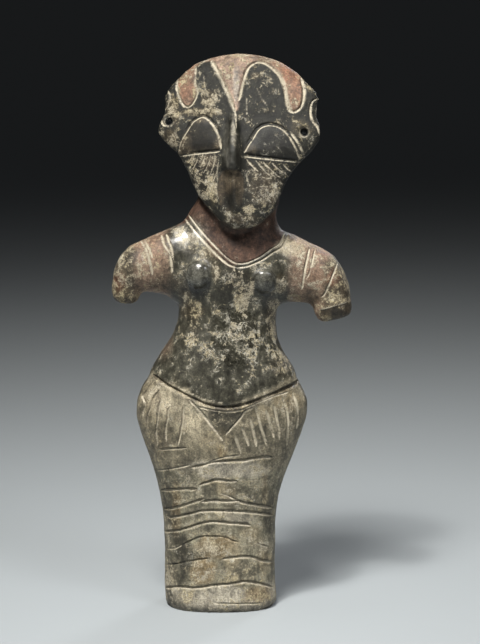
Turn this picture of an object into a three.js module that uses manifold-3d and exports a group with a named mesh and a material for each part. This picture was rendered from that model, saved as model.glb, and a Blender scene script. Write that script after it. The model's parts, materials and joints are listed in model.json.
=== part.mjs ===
// A small fired clay idol: a standing figure with a masked head, stub arms and one block for its legs.
// Millimetres. The figure faces -Y, stands on z = 0, and is one solid piece.
import * as THREE from 'three';
import { LoftGeometry } from 'three/addons/geometries/LoftGeometry.js';
import { mergeVertices } from 'three/addons/utils/BufferGeometryUtils.js';
import Module from 'manifold-3d';

const wasm = await Module();
wasm.setup();

// The height drives the free form. Every place and size on the figure is a share of it, in hundredths.
const HEIGHT = 161;
const SHARE = HEIGHT / 100;

// The two holes through the edge of the mask, and the lines drawn in the wet clay with a stylus.
const EAR_HOLE_DIAMETER = 2.1;
const LINE_WIDTH = 0.9;
const LINE_DEPTH = 0.5;
const FINE_LINE_WIDTH = 0.7;
const FINE_LINE_DEPTH = 0.35;

// How finely the surfaces are divided.
const BODY_SIDES = 36;
const LIMB_SIDES = 18;
const HEAD_SIDES = 44;
const NOSE_SIDES = 12;
const RING_STEP = 2.9;
const LINE_STEP = 3.2;

// The leg block and the hips: [height, middle across, half width, front, back, squareness].
const LEGS = [
  [0, 0, 9.6, 7.9, 8, 2.6],
  [0.45, 0, 10.05, 8.3, 8.4, 2.6],
  [1.3, 0, 10.2, 8.4, 8.5, 2.6],
  [4, -0.15, 10.05, 8.2, 8.5, 2.5],
  [12, -0.15, 10.05, 7.9, 8.2, 2.4],
  [18, -0.25, 10.4, 7.9, 8.2, 2.4],
  [22.7, -0.15, 11.4, 8.2, 8.7, 2.35],
  [27.1, 0, 12.8, 8.7, 9.7, 2.3],
  [31.6, 0.05, 14.5, 9.1, 11, 2.25],
  [34.6, 0.15, 15.4, 9.2, 11.8, 2.2],
  [37.6, 0.3, 15.4, 9, 11.7, 2.2],
  [40.2, 0.2, 14.3, 8.6, 10.6, 2.2],
  [42.2, 0.3, 12.9, 7.9, 9.2, 2.2],
  [43.8, 0.3, 9.6, 5.6, 6.6, 2.1],
  [44.6, 0.3, 4.5, 2.6, 3, 2],
];

// The torso, from the edge of the belly up to the shoulders.
const TORSO = [
  [39, 0.4, 6, 4, 4, 2],
  [40.6, 0.4, 11.6, 8.2, 7.6, 2.1],
  [41.6, 0.4, 13.25, 9.6, 9.1, 2.2],
  [42.6, 0.4, 13.2, 9.75, 9, 2.2],
  [44.4, 0.4, 12.3, 9.3, 8.3, 2.2],
  [46.6, 0.35, 10.9, 8.5, 7.3, 2.2],
  [49.3, 0.7, 9.4, 7.5, 6.4, 2.2],
  [52.2, 1.15, 8.8, 6.6, 5.9, 2.2],
  [55.4, 1.4, 8.9, 6.2, 5.8, 2.2],
  [58.5, 1.7, 10.2, 6.5, 6.1, 2.2],
  [61.5, 2, 11.2, 6.7, 6.3, 2.2],
  [64.5, 2, 11, 6.2, 6.1, 2.2],
  [67.2, 2, 9.6, 5.6, 5.8, 2.1],
  [69.2, 1.9, 8.6, 5, 5.4, 2],
  [70.6, 2, 6, 3.4, 4, 2],
];
// The edge of the belly dips this far at the front, from its two sides.
const BELLY_DIP = 4.3;
const BELLY_EDGE = 41.6;
const BELLY_TOP = 50;

// The neck leans back a little and widens down into the collar of the dress.
const NECK = [
  [62, 2.2, 5.6, 2.6, 3.4, 2],
  [66.5, 2.2, 7.8, 4.4, 5, 2],
  [69.4, 1.7, 8.5, 5.1, 5.9, 2],
  [71.5, 2, 7.9, 5.1, 6.1, 2],
  [74, 3.2, 7.3, 5, 6.4, 2],
  [78, 3.5, 7.2, 4.6, 6.9, 2],
  [84, 3.5, 7, 3.4, 7, 2],
];

// The upper arms run out sideways: [distance across, height of the middle, half height, half depth].
const LEFT_ARM = [
  [0, 62, 5.6, 3.4],
  [-6.6, 62.2, 8, 4.9],
  [-9.7, 62.7, 6, 4.75],
  [-13.2, 62.3, 4.85, 4.4],
  [-16.2, 61.5, 4.35, 4.1],
  [-18, 60.5, 3.5, 3.3],
  [-19, 59.8, 1.9, 1.8],
  [-19.3, 59.4, 0.6, 0.6],
];
const RIGHT_ARM = [
  [4, 61.6, 5.6, 3.4],
  [10.2, 61.8, 6.9, 4.9],
  [12.5, 61.8, 6.35, 4.8],
  [15.3, 61, 5.65, 4.6],
  [18, 60.1, 5.3, 4.45],
  [20.5, 59.2, 4.6, 4.1],
  [22.1, 58, 3.3, 3.2],
  [23, 56.8, 1.9, 1.9],
  [23.3, 56.3, 0.7, 0.7],
];

// The broken stumps of the forearms point down from the elbows: [along, half width, half depth].
const LEFT_STUMP = {
  top: [-16.6, -0.2, 61.5],
  bottom: [-17.1, -0.9, 55.4],
  rings: [[0, 2.4, 2.6], [0.5, 2.7, 2.9], [0.82, 2.45, 2.7], [0.95, 1.9, 2.1], [1, 1.1, 1.3]],
};
const RIGHT_STUMP = {
  top: [18.6, 0, 61],
  bottom: [20.6, -1.3, 52.6],
  rings: [[0, 3, 3], [0.45, 3.6, 3.6], [0.8, 3.45, 3.5], [0.96, 3, 3.1], [1, 2.4, 2.5]],
};

// The mask is a plate tilted back, turned a little to the left: [up the plate, left, right, dome behind].
const MASK_CHIN = [3.6, -7.6, 70.02];
const MASK_TILT = THREE.MathUtils.degToRad(20.4);
const MASK_TURN = THREE.MathUtils.degToRad(7);
const MASK_RIM = 1.7;
const MASK_BELLY = 2.3;
const MASK_FULL_WIDTH = 9;
const MASK = [
  [0, 1.3, 1.6, 0.6],
  [0.5, 2.6, 3.1, 1.4],
  [1.5, 3.8, 4.4, 2.6],
  [3.6, 5.7, 6.3, 4.2],
  [5.8, 7.4, 7.2, 5.4],
  [8.2, 8.6, 8.2, 6.3],
  [11, 9.8, 10, 7.3],
  [13.8, 11.3, 12.9, 8],
  [15.6, 13.2, 14.2, 8.3],
  [17, 14.6, 14.5, 8.4],
  [18.4, 15.1, 14.2, 8.5],
  [20, 14.4, 13.6, 8.6],
  [21.6, 13.7, 13.6, 8.4],
  [23, 13.6, 14.1, 8.1],
  [24.3, 13.8, 13.6, 7.6],
  [25.6, 13.3, 12.4, 6.9],
  [28, 10.8, 10.2, 4.8],
  [30, 8.3, 7.3, 2.6],
  [31.1, 5.2, 4.2, 1.2],
  [31.5, 2.6, 2, 0.4],
];
// The ridge of the nose along the plate: [up the plate, half width, rise].
const NOSE = [
  [2.2, 1.1, -0.6],
  [3.8, 2.4, 0.4],
  [6.4, 2.9, 1.6],
  [9, 2.9, 2.6],
  [11.3, 2.7, 3.3],
  [12.4, 2.5, 3.3],
  [16, 2.3, 2.3],
  [19.6, 2, 1.1],
  [22.6, 1.4, -0.5],
];
const NOSE_ACROSS = -0.6;

// The breasts are low mounds, the right one smaller: [distance across, height, radius].
const BREASTS = [[-3.7, 61.2, 2.7], [8, 60.4, 2.3]];
const BREAST_RISE = 1.5;
const BREAST_SINK = 0.6;
const EAR_HOLES = [[-9.1, 88], [14.8, 85.2]];

// Lines of the dress and the mask as seen from the front: [distance across, height].
const MASK_LINES = [
  [[-1.8, 98.2], [-0.5, 96.6], [0.4, 95], [1.9, 91.7]],
  [[3.4, 91.6], [3.8, 93.4], [4.9, 97.2], [6.6, 98.3], [9.4, 97.4], [11, 94.9], [11.6, 92], [13, 89.9]],
  [[13, 89.9], [14.3, 90.7], [14.8, 92.6], [14.6, 95.2]],
  [[-7.2, 96.2], [-7.8, 94], [-6.8, 91.4], [-5.8, 90.7], [-4.9, 91.4], [-4.2, 93.4], [-4.7, 96.4]],
  [[-7.5, 82.9], [-6.6, 85.7], [-4.8, 88.2], [-3, 89.1], [-1.1, 87.8], [0, 84]],
  [[-7.5, 82.7], [-3.6, 83.1], [0, 83.4]],
  [[4.2, 82.9], [5.4, 85.4], [7, 87.5], [8.9, 88], [11, 87.3], [12.8, 84.8], [14.2, 81.9]],
  [[4.2, 82.7], [9.6, 82], [14.2, 81.7]],
];
const DRESS_LINES = [
  [[-6.2, 70.8], [-3, 67.5], [-0.6, 65], [1.3, 63.4], [3.2, 62.7], [5.4, 63.1], [9.2, 65.3], [11.4, 67.6]],
  [[-14.1, 66.4], [-13, 64.6], [-12.2, 61]],
  [[-10.3, 67.6], [-9.1, 64.8], [-8.7, 61.2]],
  [[15.7, 65.6], [15.2, 62.6], [14.5, 58.6]],
  [[20.9, 62.8], [20, 60.6], [18.5, 57.4]],
  [[-5.5, 39.4], [-3.5, 37.5], [-1.9, 35.3], [0.2, 32.6]],
  [[5.8, 38.2], [3.4, 36.3], [0.9, 33.4]],
];
const BAND_LINES = [
  [[-9.4, 27.4], [-5.8, 28], [-3.4, 28.6], [0, 29.2], [4, 29.6], [7, 30.1]],
  [[-9.6, 24.3], [-5, 25], [-2.2, 26], [0, 26.6], [4, 26.5], [9.4, 26.6]],
  [[-9.3, 21.7], [-5.6, 22.6], [-1.8, 23.4], [2, 23.4], [7.6, 22.3]],
  [[-8.9, 20.8], [-3, 21.8], [1, 21.9], [7.4, 21.2]],
  [[-9.3, 18.3], [-5, 19.2], [-0.6, 20.2], [2.6, 19.9], [5.4, 19.1]],
  [[-9.2, 16], [-5.8, 16.6], [-3, 17.8], [0, 18.1], [3.2, 17.4]],
  [[-9.2, 13.6], [-5.4, 14.2], [-2, 14.4], [3, 14.5], [7.4, 13.8]],
  [[-9.2, 9.9], [-4.6, 9.8], [0, 10.4], [3.6, 10.5], [7.6, 9.8]],
];
const SKIRT_STROKES = [
  [[-13.9, 41], [-14.4, 36.4]],
  [[-11.4, 40.9], [-13.1, 34.2]],
  [[-10.9, 39.4], [-11.3, 31]],
  [[-8.9, 37.9], [-9.5, 32]],
  [[-6.6, 38], [-7.3, 31]],
  [[2.9, 34.8], [4.2, 30.8]],
  [[4.4, 35.4], [5.9, 31]],
  [[5.5, 37.6], [7.7, 31]],
  [[7.4, 37.4], [9.2, 32.2]],
  [[9, 37.8], [10.2, 31.8]],
  [[10.6, 38.6], [11.6, 31]],
  [[12.4, 38.8], [13.4, 33]],
];

// One smooth row of values at any height between the stations of a table.
function between(stations) {
  const times = stations.map((station) => station[0]);
  const values = stations.flatMap((station) => station.slice(1));
  const size = stations[0].length - 1;
  const curve = new THREE.CubicInterpolant(times, values, size);
  return (at) => Array.from(curve.evaluate(at));
}

// The places of the rings: on every station, and between them wherever the step is long.
function ringPlaces(stations, step) {
  const places = [stations[0][0]];
  for (let i = 1; i < stations.length; i += 1) {
    const from = stations[i - 1][0];
    const reach = stations[i][0] - from;
    const count = Math.max(1, Math.round(Math.abs(reach) / step));
    for (let k = 1; k <= count; k += 1) {
      places.push(from + (reach * k) / count);
    }
  }
  return places;
}

// A rounded oval: the point at one angle, with its own depth in front and behind.
function ovalPoint(angle, halfWidth, front, back, squareness) {
  const power = 2 / squareness;
  const across = Math.sign(Math.cos(angle)) * Math.abs(Math.cos(angle)) ** power * halfWidth;
  const reach = Math.abs(Math.sin(angle)) ** power;
  return [across, Math.sin(angle) < 0 ? -reach * front : reach * back];
}

// A closed solid skinned over rings of points that are given in shares of the height.
function skin(rings) {
  const sections = rings.map((ring) => ring.map(([x, y, z]) => new THREE.Vector3(x, y, z).multiplyScalar(SHARE)));
  return solid(new LoftGeometry(sections, { capStart: true, capEnd: true }));
}

function solid(geometry) {
  geometry.deleteAttribute('normal');
  geometry.deleteAttribute('uv');
  const merged = mergeVertices(geometry);
  return new wasm.Manifold(new wasm.Mesh({
    numProp: 3,
    vertProperties: merged.attributes.position.array,
    triVerts: Uint32Array.from(merged.index.array),
  }));
}

function geometryOf(body) {
  const mesh = body.getMesh();
  const geometry = new THREE.BufferGeometry();
  geometry.setAttribute('position', new THREE.BufferAttribute(mesh.vertProperties, 3));
  geometry.setIndex(new THREE.BufferAttribute(mesh.triVerts, 1));
  geometry.computeVertexNormals();
  return geometry;
}

// A column of level ovals. The optional dip lowers points of a ring by their place on it.
function column(stations, sides, dip = () => 0) {
  const row = between(stations);
  const rings = ringPlaces(stations, RING_STEP).map((height) => {
    const [middle, halfWidth, front, back, squareness] = row(height);
    return Array.from({ length: sides }, (_, i) => {
      const angle = (i / sides) * Math.PI * 2;
      const [x, y] = ovalPoint(angle, halfWidth, front, back, squareness);
      return [middle + x, y, height - dip(height, angle)];
    });
  });
  return skin(rings);
}

// The belly hangs lower at the front: all of the dip at its edge and none of it at the waist.
function bellyDip(height, angle) {
  const share = THREE.MathUtils.clamp((BELLY_TOP - height) / (BELLY_TOP - BELLY_EDGE), 0, 1);
  return BELLY_DIP * share * Math.max(0, -Math.sin(angle)) ** 2;
}

function upperArm(stations) {
  const row = between(stations.map((station) => [Math.abs(station[0] - stations[0][0]), ...station]));
  const places = stations.map((station) => [Math.abs(station[0] - stations[0][0])]);
  const toRight = Math.sign(stations[1][0] - stations[0][0]);
  const rings = ringPlaces(places, RING_STEP).map((place) => {
    const [x, z, halfHeight, halfDepth] = row(place);
    return Array.from({ length: LIMB_SIDES }, (_, i) => {
      const angle = (i / LIMB_SIDES) * Math.PI * 2 * toRight;
      return [x, Math.cos(angle) * halfDepth, z + Math.sin(angle) * halfHeight];
    });
  });
  return skin(rings);
}

// The stump of a forearm, with its section square to the line from the elbow to the break.
function stump({ top, bottom, rings }) {
  const from = new THREE.Vector3(...top);
  const along = new THREE.Vector3(...bottom).sub(from);
  const turn = new THREE.Quaternion().setFromUnitVectors(new THREE.Vector3(0, 0, -1), along.clone().normalize());
  const sections = rings.map(([place, halfWidth, halfDepth]) =>
    Array.from({ length: LIMB_SIDES }, (_, i) => {
      const angle = (-i / LIMB_SIDES) * Math.PI * 2;
      const flat = new THREE.Vector3(Math.cos(angle) * halfWidth, Math.sin(angle) * halfDepth, 0);
      return flat.applyQuaternion(turn).addScaledVector(along, place).add(from).toArray();
    }));
  return skin(sections);
}

// The directions of the mask: across it, up along it, and out of its face.
const maskOut = new THREE.Vector3(0, -Math.cos(MASK_TILT), Math.sin(MASK_TILT));
const maskUp = new THREE.Vector3(0, Math.sin(MASK_TILT), Math.cos(MASK_TILT));
maskOut.applyAxisAngle(maskUp, -MASK_TURN);
const maskAcross = new THREE.Vector3().crossVectors(maskUp, maskOut);

function onMask(across, up, out) {
  return new THREE.Vector3(...MASK_CHIN)
    .addScaledVector(maskAcross, across)
    .addScaledVector(maskUp, up)
    .addScaledVector(maskOut, out)
    .toArray();
}

// The plate of the mask is keeled a little in front and carries the round back of the head behind.
function mask() {
  const row = between(MASK);
  const rings = ringPlaces(MASK, RING_STEP).map((up) => {
    const [left, right, dome] = row(up);
    return Array.from({ length: HEAD_SIDES }, (_, i) => {
      const angle = (i / HEAD_SIDES) * Math.PI * 2;
      const edge = Math.cos(angle) < 0 ? left : right;
      const across = Math.cos(angle) * edge;
      const middle = 1 - Math.cos(angle) ** 2;
      const keel = 1 - Math.abs(Math.cos(angle)) ** 1.4;
      const fullness = Math.min(1, edge / MASK_FULL_WIDTH);
      const rim = MASK_RIM * Math.sqrt(fullness) * Math.abs(Math.sin(angle)) ** 0.7;
      const out = Math.sin(angle) < 0 ? rim + MASK_BELLY * fullness * keel : -rim - dome * middle ** 1.6;
      return onMask(across, up, out);
    });
  });
  return skin(rings);
}

// The nose is a keel along the plate: a rounded ridge that rises to a beak and drops back to the chin.
function nose() {
  const row = between(NOSE);
  const root = -1.2;
  const rings = ringPlaces(NOSE, RING_STEP).map((up) => {
    const [halfWidth, rise] = row(up);
    return Array.from({ length: NOSE_SIDES }, (_, i) => {
      const angle = (i / NOSE_SIDES) * Math.PI * 2;
      const across = NOSE_ACROSS + Math.cos(angle) * halfWidth;
      const top = Math.sin(angle) < 0 ? 1 - Math.abs(Math.cos(angle)) ** 1.9 : 0;
      return onMask(across, up, root + (MASK_RIM + MASK_BELLY + rise - root) * top);
    });
  });
  return skin(rings);
}

// Looks for the front surface of a body at one place across and one height, both in shares.
function frontOf(body) {
  const mesh = new THREE.Mesh(geometryOf(body), new THREE.MeshBasicMaterial());
  const ray = new THREE.Raycaster();
  const inward = new THREE.Vector3(0, 1, 0);
  return (across, height) => {
    ray.set(new THREE.Vector3(across * SHARE, -HEIGHT, height * SHARE), inward);
    const [hit] = ray.intersectObject(mesh);
    return hit && { point: hit.point.clone(), normal: hit.face.normal.clone() };
  };
}

function breast([across, height, radius], front) {
  const lump = new THREE.SphereGeometry(radius * SHARE, 14, 8);
  lump.scale(1, (BREAST_RISE + BREAST_SINK) / radius, 1);
  const { point } = front(across, height);
  lump.translate(point.x, point.y + BREAST_SINK * SHARE, point.z);
  return solid(lump);
}

function earHole([across, height]) {
  const drill = new THREE.CylinderGeometry(EAR_HOLE_DIAMETER / 2, EAR_HOLE_DIAMETER / 2, HEIGHT / 2, 12);
  drill.rotateX(-MASK_TILT);
  drill.translate(across * SHARE, 0, height * SHARE);
  return solid(drill);
}

// A V-shaped cutter that follows a drawn line over the front of the figure and tapers at both ends.
function lineCutter(points, front, width, depth) {
  const drawn = new THREE.CatmullRomCurve3(points.map(([x, z]) => new THREE.Vector3(x, 0, z)));
  const count = Math.max(2, Math.round(drawn.getLength() / LINE_STEP));
  const marks = drawn.getSpacedPoints(count).map((mark) => front(mark.x, mark.z)).filter(Boolean);
  const lift = depth * 1.5;
  const sections = marks.map(({ point, normal }, i) => {
    const before = marks[Math.max(0, i - 1)].point;
    const after = marks[Math.min(marks.length - 1, i + 1)].point;
    const side = after.clone().sub(before).cross(normal).normalize();
    const end = i === 0 || i === marks.length - 1 ? 0.4 : 1;
    const half = (width / 2) * end * (1 + lift / depth);
    return [
      point.clone().addScaledVector(normal, lift).addScaledVector(side, half),
      point.clone().addScaledVector(normal, -depth * end),
      point.clone().addScaledVector(normal, lift).addScaledVector(side, -half),
    ];
  });
  return solid(new LoftGeometry(sections, { capStart: true, capEnd: true }));
}

function buildForm() {
  const parts = [
    column(LEGS, BODY_SIDES),
    column(TORSO, BODY_SIDES, bellyDip),
    column(NECK, BODY_SIDES),
    upperArm(LEFT_ARM),
    upperArm(RIGHT_ARM),
    stump(LEFT_STUMP),
    stump(RIGHT_STUMP),
    mask(),
    nose(),
  ];
  const form = wasm.Manifold.union(parts);
  const front = frontOf(form);
  return wasm.Manifold.union([form, ...BREASTS.map((place) => breast(place, front))]);
}

function carve(form) {
  const front = frontOf(form);
  const bold = [...MASK_LINES, ...DRESS_LINES, ...BAND_LINES];
  const cutters = bold.map((line) => lineCutter(line, front, LINE_WIDTH, LINE_DEPTH));
  const fine = SKIRT_STROKES.map((line) => lineCutter(line, front, FINE_LINE_WIDTH, FINE_LINE_DEPTH));
  const holes = EAR_HOLES.map(earHole);
  return withoutCrumbs(form.subtract(wasm.Manifold.union([...cutters, ...fine, ...holes])));
}

// A line that crosses a sharp edge can cut a crumb free, so only the figure itself is kept.
function withoutCrumbs(body) {
  return body.decompose().reduce((largest, other) => (other.volume() > largest.volume() ? other : largest));
}

const clay = new THREE.MeshStandardMaterial({ color: '#6b6152', roughness: 0.7, metalness: 0 });
const idol = new THREE.Mesh(geometryOf(carve(buildForm())), clay);
idol.name = 'idol';

const group = new THREE.Group();
group.add(idol);

export default group;
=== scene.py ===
"""A standing figure of fired clay with an incised mask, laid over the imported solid. Lengths in metres."""

import json
import math

import bpy
import numpy as np
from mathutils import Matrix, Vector, noise
from mathutils.bvhtree import BVHTree
from mathutils.kdtree import KDTree

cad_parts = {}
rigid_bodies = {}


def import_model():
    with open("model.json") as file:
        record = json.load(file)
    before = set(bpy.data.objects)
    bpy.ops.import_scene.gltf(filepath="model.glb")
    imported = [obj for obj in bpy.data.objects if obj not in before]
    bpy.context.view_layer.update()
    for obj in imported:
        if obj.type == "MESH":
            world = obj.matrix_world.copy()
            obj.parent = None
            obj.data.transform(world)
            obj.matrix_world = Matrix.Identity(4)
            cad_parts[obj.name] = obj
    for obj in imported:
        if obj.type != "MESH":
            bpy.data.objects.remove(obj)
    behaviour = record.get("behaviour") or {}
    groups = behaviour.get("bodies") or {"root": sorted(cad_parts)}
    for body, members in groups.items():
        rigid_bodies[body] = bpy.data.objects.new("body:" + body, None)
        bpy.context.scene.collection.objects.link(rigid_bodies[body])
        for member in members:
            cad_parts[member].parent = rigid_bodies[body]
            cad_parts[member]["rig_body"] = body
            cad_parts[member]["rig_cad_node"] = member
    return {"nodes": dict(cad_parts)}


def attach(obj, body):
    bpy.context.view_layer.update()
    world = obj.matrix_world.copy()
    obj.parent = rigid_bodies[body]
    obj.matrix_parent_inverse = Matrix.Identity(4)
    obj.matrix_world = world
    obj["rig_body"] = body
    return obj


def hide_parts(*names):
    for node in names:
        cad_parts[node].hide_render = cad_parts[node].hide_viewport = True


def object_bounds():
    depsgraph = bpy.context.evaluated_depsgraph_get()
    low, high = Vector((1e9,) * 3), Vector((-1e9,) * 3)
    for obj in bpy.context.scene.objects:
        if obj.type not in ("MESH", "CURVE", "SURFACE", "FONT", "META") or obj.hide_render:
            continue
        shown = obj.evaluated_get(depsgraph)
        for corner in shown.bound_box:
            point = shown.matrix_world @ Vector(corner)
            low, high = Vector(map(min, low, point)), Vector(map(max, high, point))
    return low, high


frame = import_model()
cad_low, cad_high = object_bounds()

MM = 0.001

# The camera stands where the picture was taken from. Places marked "picture" below are in its pixels.
PICTURE_WIDTH = 480
PICTURE_HEIGHT = 644
FOCAL_PIXELS = 3455.0
SENSOR_MM = 36.0
CAMERA_PLACE = np.array([5.6, -981.63, 271.31]) * MM
CAMERA_PITCH = math.radians(-11.0) + 10 / FOCAL_PIXELS
AHEAD = np.array([0.0, math.cos(CAMERA_PITCH), math.sin(CAMERA_PITCH)])
UPWARD = np.array([0.0, -math.sin(CAMERA_PITCH), math.cos(CAMERA_PITCH)])

# The side of each cut that the light leaves dark: its upper left wall.
SHADOW_SIDE = np.array([-0.45, 0.0, 0.89])

# How finely the clay is meshed all over, and how near a line its faces are cut finer, once and once more.
GRAIN = 0.88 * MM
NEAR_LINE = 1.1 * MM
CLOSE_TO_LINE = 0.55 * MM

# Whatever is lower than this stays flat, for the figure to stand on.
FOOT_HEIGHT = 0.35 * MM

# Points on the lines: their step, in picture pixels in front and in mm behind, and how many go round the back
# and round a hole. Lines that the picture doesn't show are this strong.
FRONT_STEP = 0.45
BACK_STEP = 0.15
ROUND_POINTS = 420
RIM_POINTS = 60
BACK_STRENGTH = 0.6

# Kinds of line: half width in mm, depth in mm, pale fill, height of the pushed-up rim in mm.
CUTS = {
    "cut": (0.27, 0.36, 1.00, 0.08),
    "deep": (0.36, 0.58, 0.85, 0.14),
    "leg cut": (0.35, 0.56, 1.00, 0.18),
    "stroke": (0.27, 0.48, 1.00, 0.12),
    "wide": (0.40, 0.42, 1.00, 0.14),
    "fine": (0.22, 0.27, 0.95, 0.06),
    "scratch": (0.16, 0.14, 0.60, 0.02),
    "shadow": (0.24, 0.42, 0.0, 0.03),
    "fold": (0.46, 0.80, 0.0, 0.16),
    "ridge": (0.26, -0.12, 0.75, 0.0),
    "hole rim": (0.40, 0.10, 0.35, 0.10),
    "undercut": (0.40, 0.16, 0.0, 0.10),
    "edge": (0.34, -0.14, 0.08, 0.0),
    "lash": (0.24, 0.42, 0.75, 0.08),
    "shaping": (0.30, 0.0, 0.0, 0.0),
}

# Stretches of the lines that also bound painted parts, picture places.
V_LEFT = [(211.6, 61), (217, 70), (223, 82), (228, 93), (231.5, 102)]
V_RIGHT = [(239, 100), (241, 89), (244, 78), (248, 68), (254, 63)]
LOBE_INNER = [(284, 87), (286.6, 101.4), (290, 109.5)]
LOBE_OUTER = [(294.6, 111.8), (301, 106.8), (303.6, 97.9), (303.6, 87)]
LOBE_LEFT = [(181, 74), (176.8, 84), (177.7, 92.5), (182, 103), (187.5, 106.8), (192.9, 103), (197.3, 92.5),
    (195, 82)]
NECK_LEFT = [(188, 214), (196, 224.5), (207.5, 238), (220.5, 251.5), (230, 260), (236.5, 263.6)]
NECK_RIGHT = [(247, 262.6), (259.5, 257), (270, 250), (279.5, 243), (284.5, 233)]

# Lines of the mask, picture places.
MASK_CUTS = [
    ("wide", [*V_LEFT, (235, 112)],
     [*V_RIGHT, (260.7, 62), (269.6, 65.7), (278.6, 74.6), *LOBE_INNER, *LOBE_OUTER, (301, 78)]),
    ("ridge", [(235, 112), (235.4, 120), (235, 129)]),
    ("cut", [*LOBE_LEFT, (196, 68)],
     [(166, 87), (169.6, 94.3), (168.8, 101.4), (165, 110), (161.6, 117.5), (163, 124), (168, 126.5)],
     [(320, 98), (313, 101), (310.5, 108), (311, 118), (317, 127), (320, 136)]),
    ("fine", [(178.5, 153), (180.8, 142), (186.5, 132.4), (193.6, 122), (203.6, 117.2), (213.4, 125.6),
      (219, 137.5), (221.3, 149)]),
    ("shadow", [(185.4, 130.6), (192.8, 120.2), (203.6, 115.0), (214.6, 123.8), (219.8, 134)]),
    ("fine", [(178, 156.5), (190, 154.6), (205, 153), (219.6, 151.6)]),
    ("shadow", [(190, 153), (205, 151.2), (219.6, 149.8)]),
    ("fine", [(244, 153), (248.8, 145), (252.6, 139.5), (259.6, 129), (269.6, 125.4), (281.3, 128.8),
      (288.5, 136.2), (295.5, 148.5), (299.5, 159)]),
    ("shadow", [(247.4, 143.4), (251, 137), (258.2, 127), (269.6, 123.2), (282.2, 126.8), (289.2, 133.8)],
     [(245, 154.2), (260, 156.2), (280, 158.3), (296, 160)]),
    ("fine", [(244, 156), (260, 158.2), (280, 160.3), (303, 162.5)],
     [(290, 131.5), (296.5, 140.5), (302, 151), (305.5, 160)]),
    ("undercut", [(219, 174), (222.5, 170.4), (231, 169), (239.5, 170.6), (243, 174.5)]),
    ("edge", [(232.6, 118), (231.4, 135), (230.6, 150), (230.6, 165)]),
    ("shaping", [(229, 112), (226, 130), (223, 150), (221, 168)], [(240.5, 112), (240.5, 140), (241, 168)]),
    ("lash", [(198, 156), (195.5, 163), (191, 170)], [(205, 155.5), (201, 165), (196.5, 174)],
     [(210.5, 155), (207.5, 164), (203, 173)], [(215, 155), (213, 165), (208.5, 177)],
     [(218.5, 160), (216.5, 170), (213, 181)], [(192, 156), (189, 162)]),
    ("scratch", [(186, 159), (185, 164), (187, 171)], [(201.5, 164), (197, 171), (193.5, 179)],
     [(209.5, 168), (206, 176), (205, 184)], [(250, 167), (257, 175), (266, 182)],
     [(267, 169), (275, 177), (283, 185.5)], [(279, 166), (285, 172.5), (290, 179)],
     [(240, 214), (242.5, 221), (243.5, 227)], [(233, 216), (234, 226)],
     [(249, 213), (252.5, 219), (254, 225)], [(224, 213), (227.5, 219), (229.5, 225)],
     [(258, 207), (262, 214)], [(203.5, 74), (204.5, 86), (207, 97)], [(257, 88), (261, 97), (267.5, 106)],
     [(247, 96), (246, 106), (247.5, 117)], [(174, 130), (177, 138)],
     [(166, 133), (171, 142), (175.5, 149)]),
    ("lash", [(246.4, 159), (251, 164), (258, 171)], [(256, 160.5), (263, 168), (271.4, 176.5)],
     [(263, 161.5), (271, 169), (280.4, 177.5)], [(272, 162.5), (278, 168), (284.5, 173)],
     [(283, 164), (288, 168.5), (293.5, 173)]),
    ("scratch", [(248, 171), (256, 175.5), (268, 178), (278, 180), (284.5, 185)],
     [(249, 190), (258, 187), (268, 186.5), (277, 191), (278, 198)], [(252, 200), (259, 196), (268, 193)],
     [(218, 162), (217, 176), (216.5, 190), (217, 202)], [(246, 170), (247.5, 180), (250, 186)]),
]

# Lines of the dress: neckline, arm bands, belly edge, belt and the triangle below it, picture places.
DRESS_CUTS = [
    ("cut", [(184, 217), (191, 226), (203.6, 240.5), (217, 254.8), (227.7, 263.8), (235.7, 267.4)]),
    ("fine", NECK_LEFT),
    ("cut", [(235.7, 267.4), (246.4, 266.4), (261.6, 260.2), (272.3, 253), (282, 246.8), (287.5, 236),
      (289, 229)]),
    ("fine", [(236.5, 263.6), *NECK_RIGHT]),
    ("cut", [(161.3, 235.4), (163.7, 243), (169.4, 253.6), (171.3, 267), (171.8, 273)]),
    ("fine", [(166.5, 234.5), (170.6, 246), (173.3, 259)]),
    ("cut", [(140.7, 241), (145.5, 247.8), (148.4, 257.4), (150.3, 265), (152.2, 275)]),
    ("fine", [(144.5, 240), (149.4, 249), (152.2, 258)]),
    ("cut", [(309.4, 247.8), (307.5, 257), (305.6, 266), (301.8, 289)]),
    ("fine", [(315.2, 248.5), (312.5, 260), (309.4, 272.7), (306.6, 278.5)]),
    ("cut", [(338.6, 260.3), (333.3, 274.6), (325.7, 291.9), (321.9, 297)]),
    ("ridge", [(319, 309.5), (325, 308.4), (330, 307), (340, 304), (347, 302)]),
    ("edge", [(114, 296), (122, 301), (131, 300), (138, 296)]),
    ("fold", [(153.5, 375), (160, 380), (167, 384.8), (188.8, 396.7), (207.2, 404.8), (224.6, 407.6),
      (243, 405), (264.7, 397.6), (286.4, 388), (295, 384), (298, 379.4)]),
    ("fine", [(195, 406), (211, 409.8), (227, 411.8), (240.5, 410.2), (253.9, 404.6), (274, 396.5),
      (288.7, 391.8)]),
    ("scratch", [(168, 381.5), (189, 392.5), (207, 400), (224, 403)]),
    ("cut", [(189.6, 400.3), (200.4, 411), (209.7, 423), (219, 435), (223, 441)]),
    ("scratch", [(223, 441), (225, 447), (223.5, 456.5)]),
    ("cut", [(253.4, 407.3), (245.3, 411.3), (240.5, 417.7), (231.2, 428.4), (226, 434.5)]),
]

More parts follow.
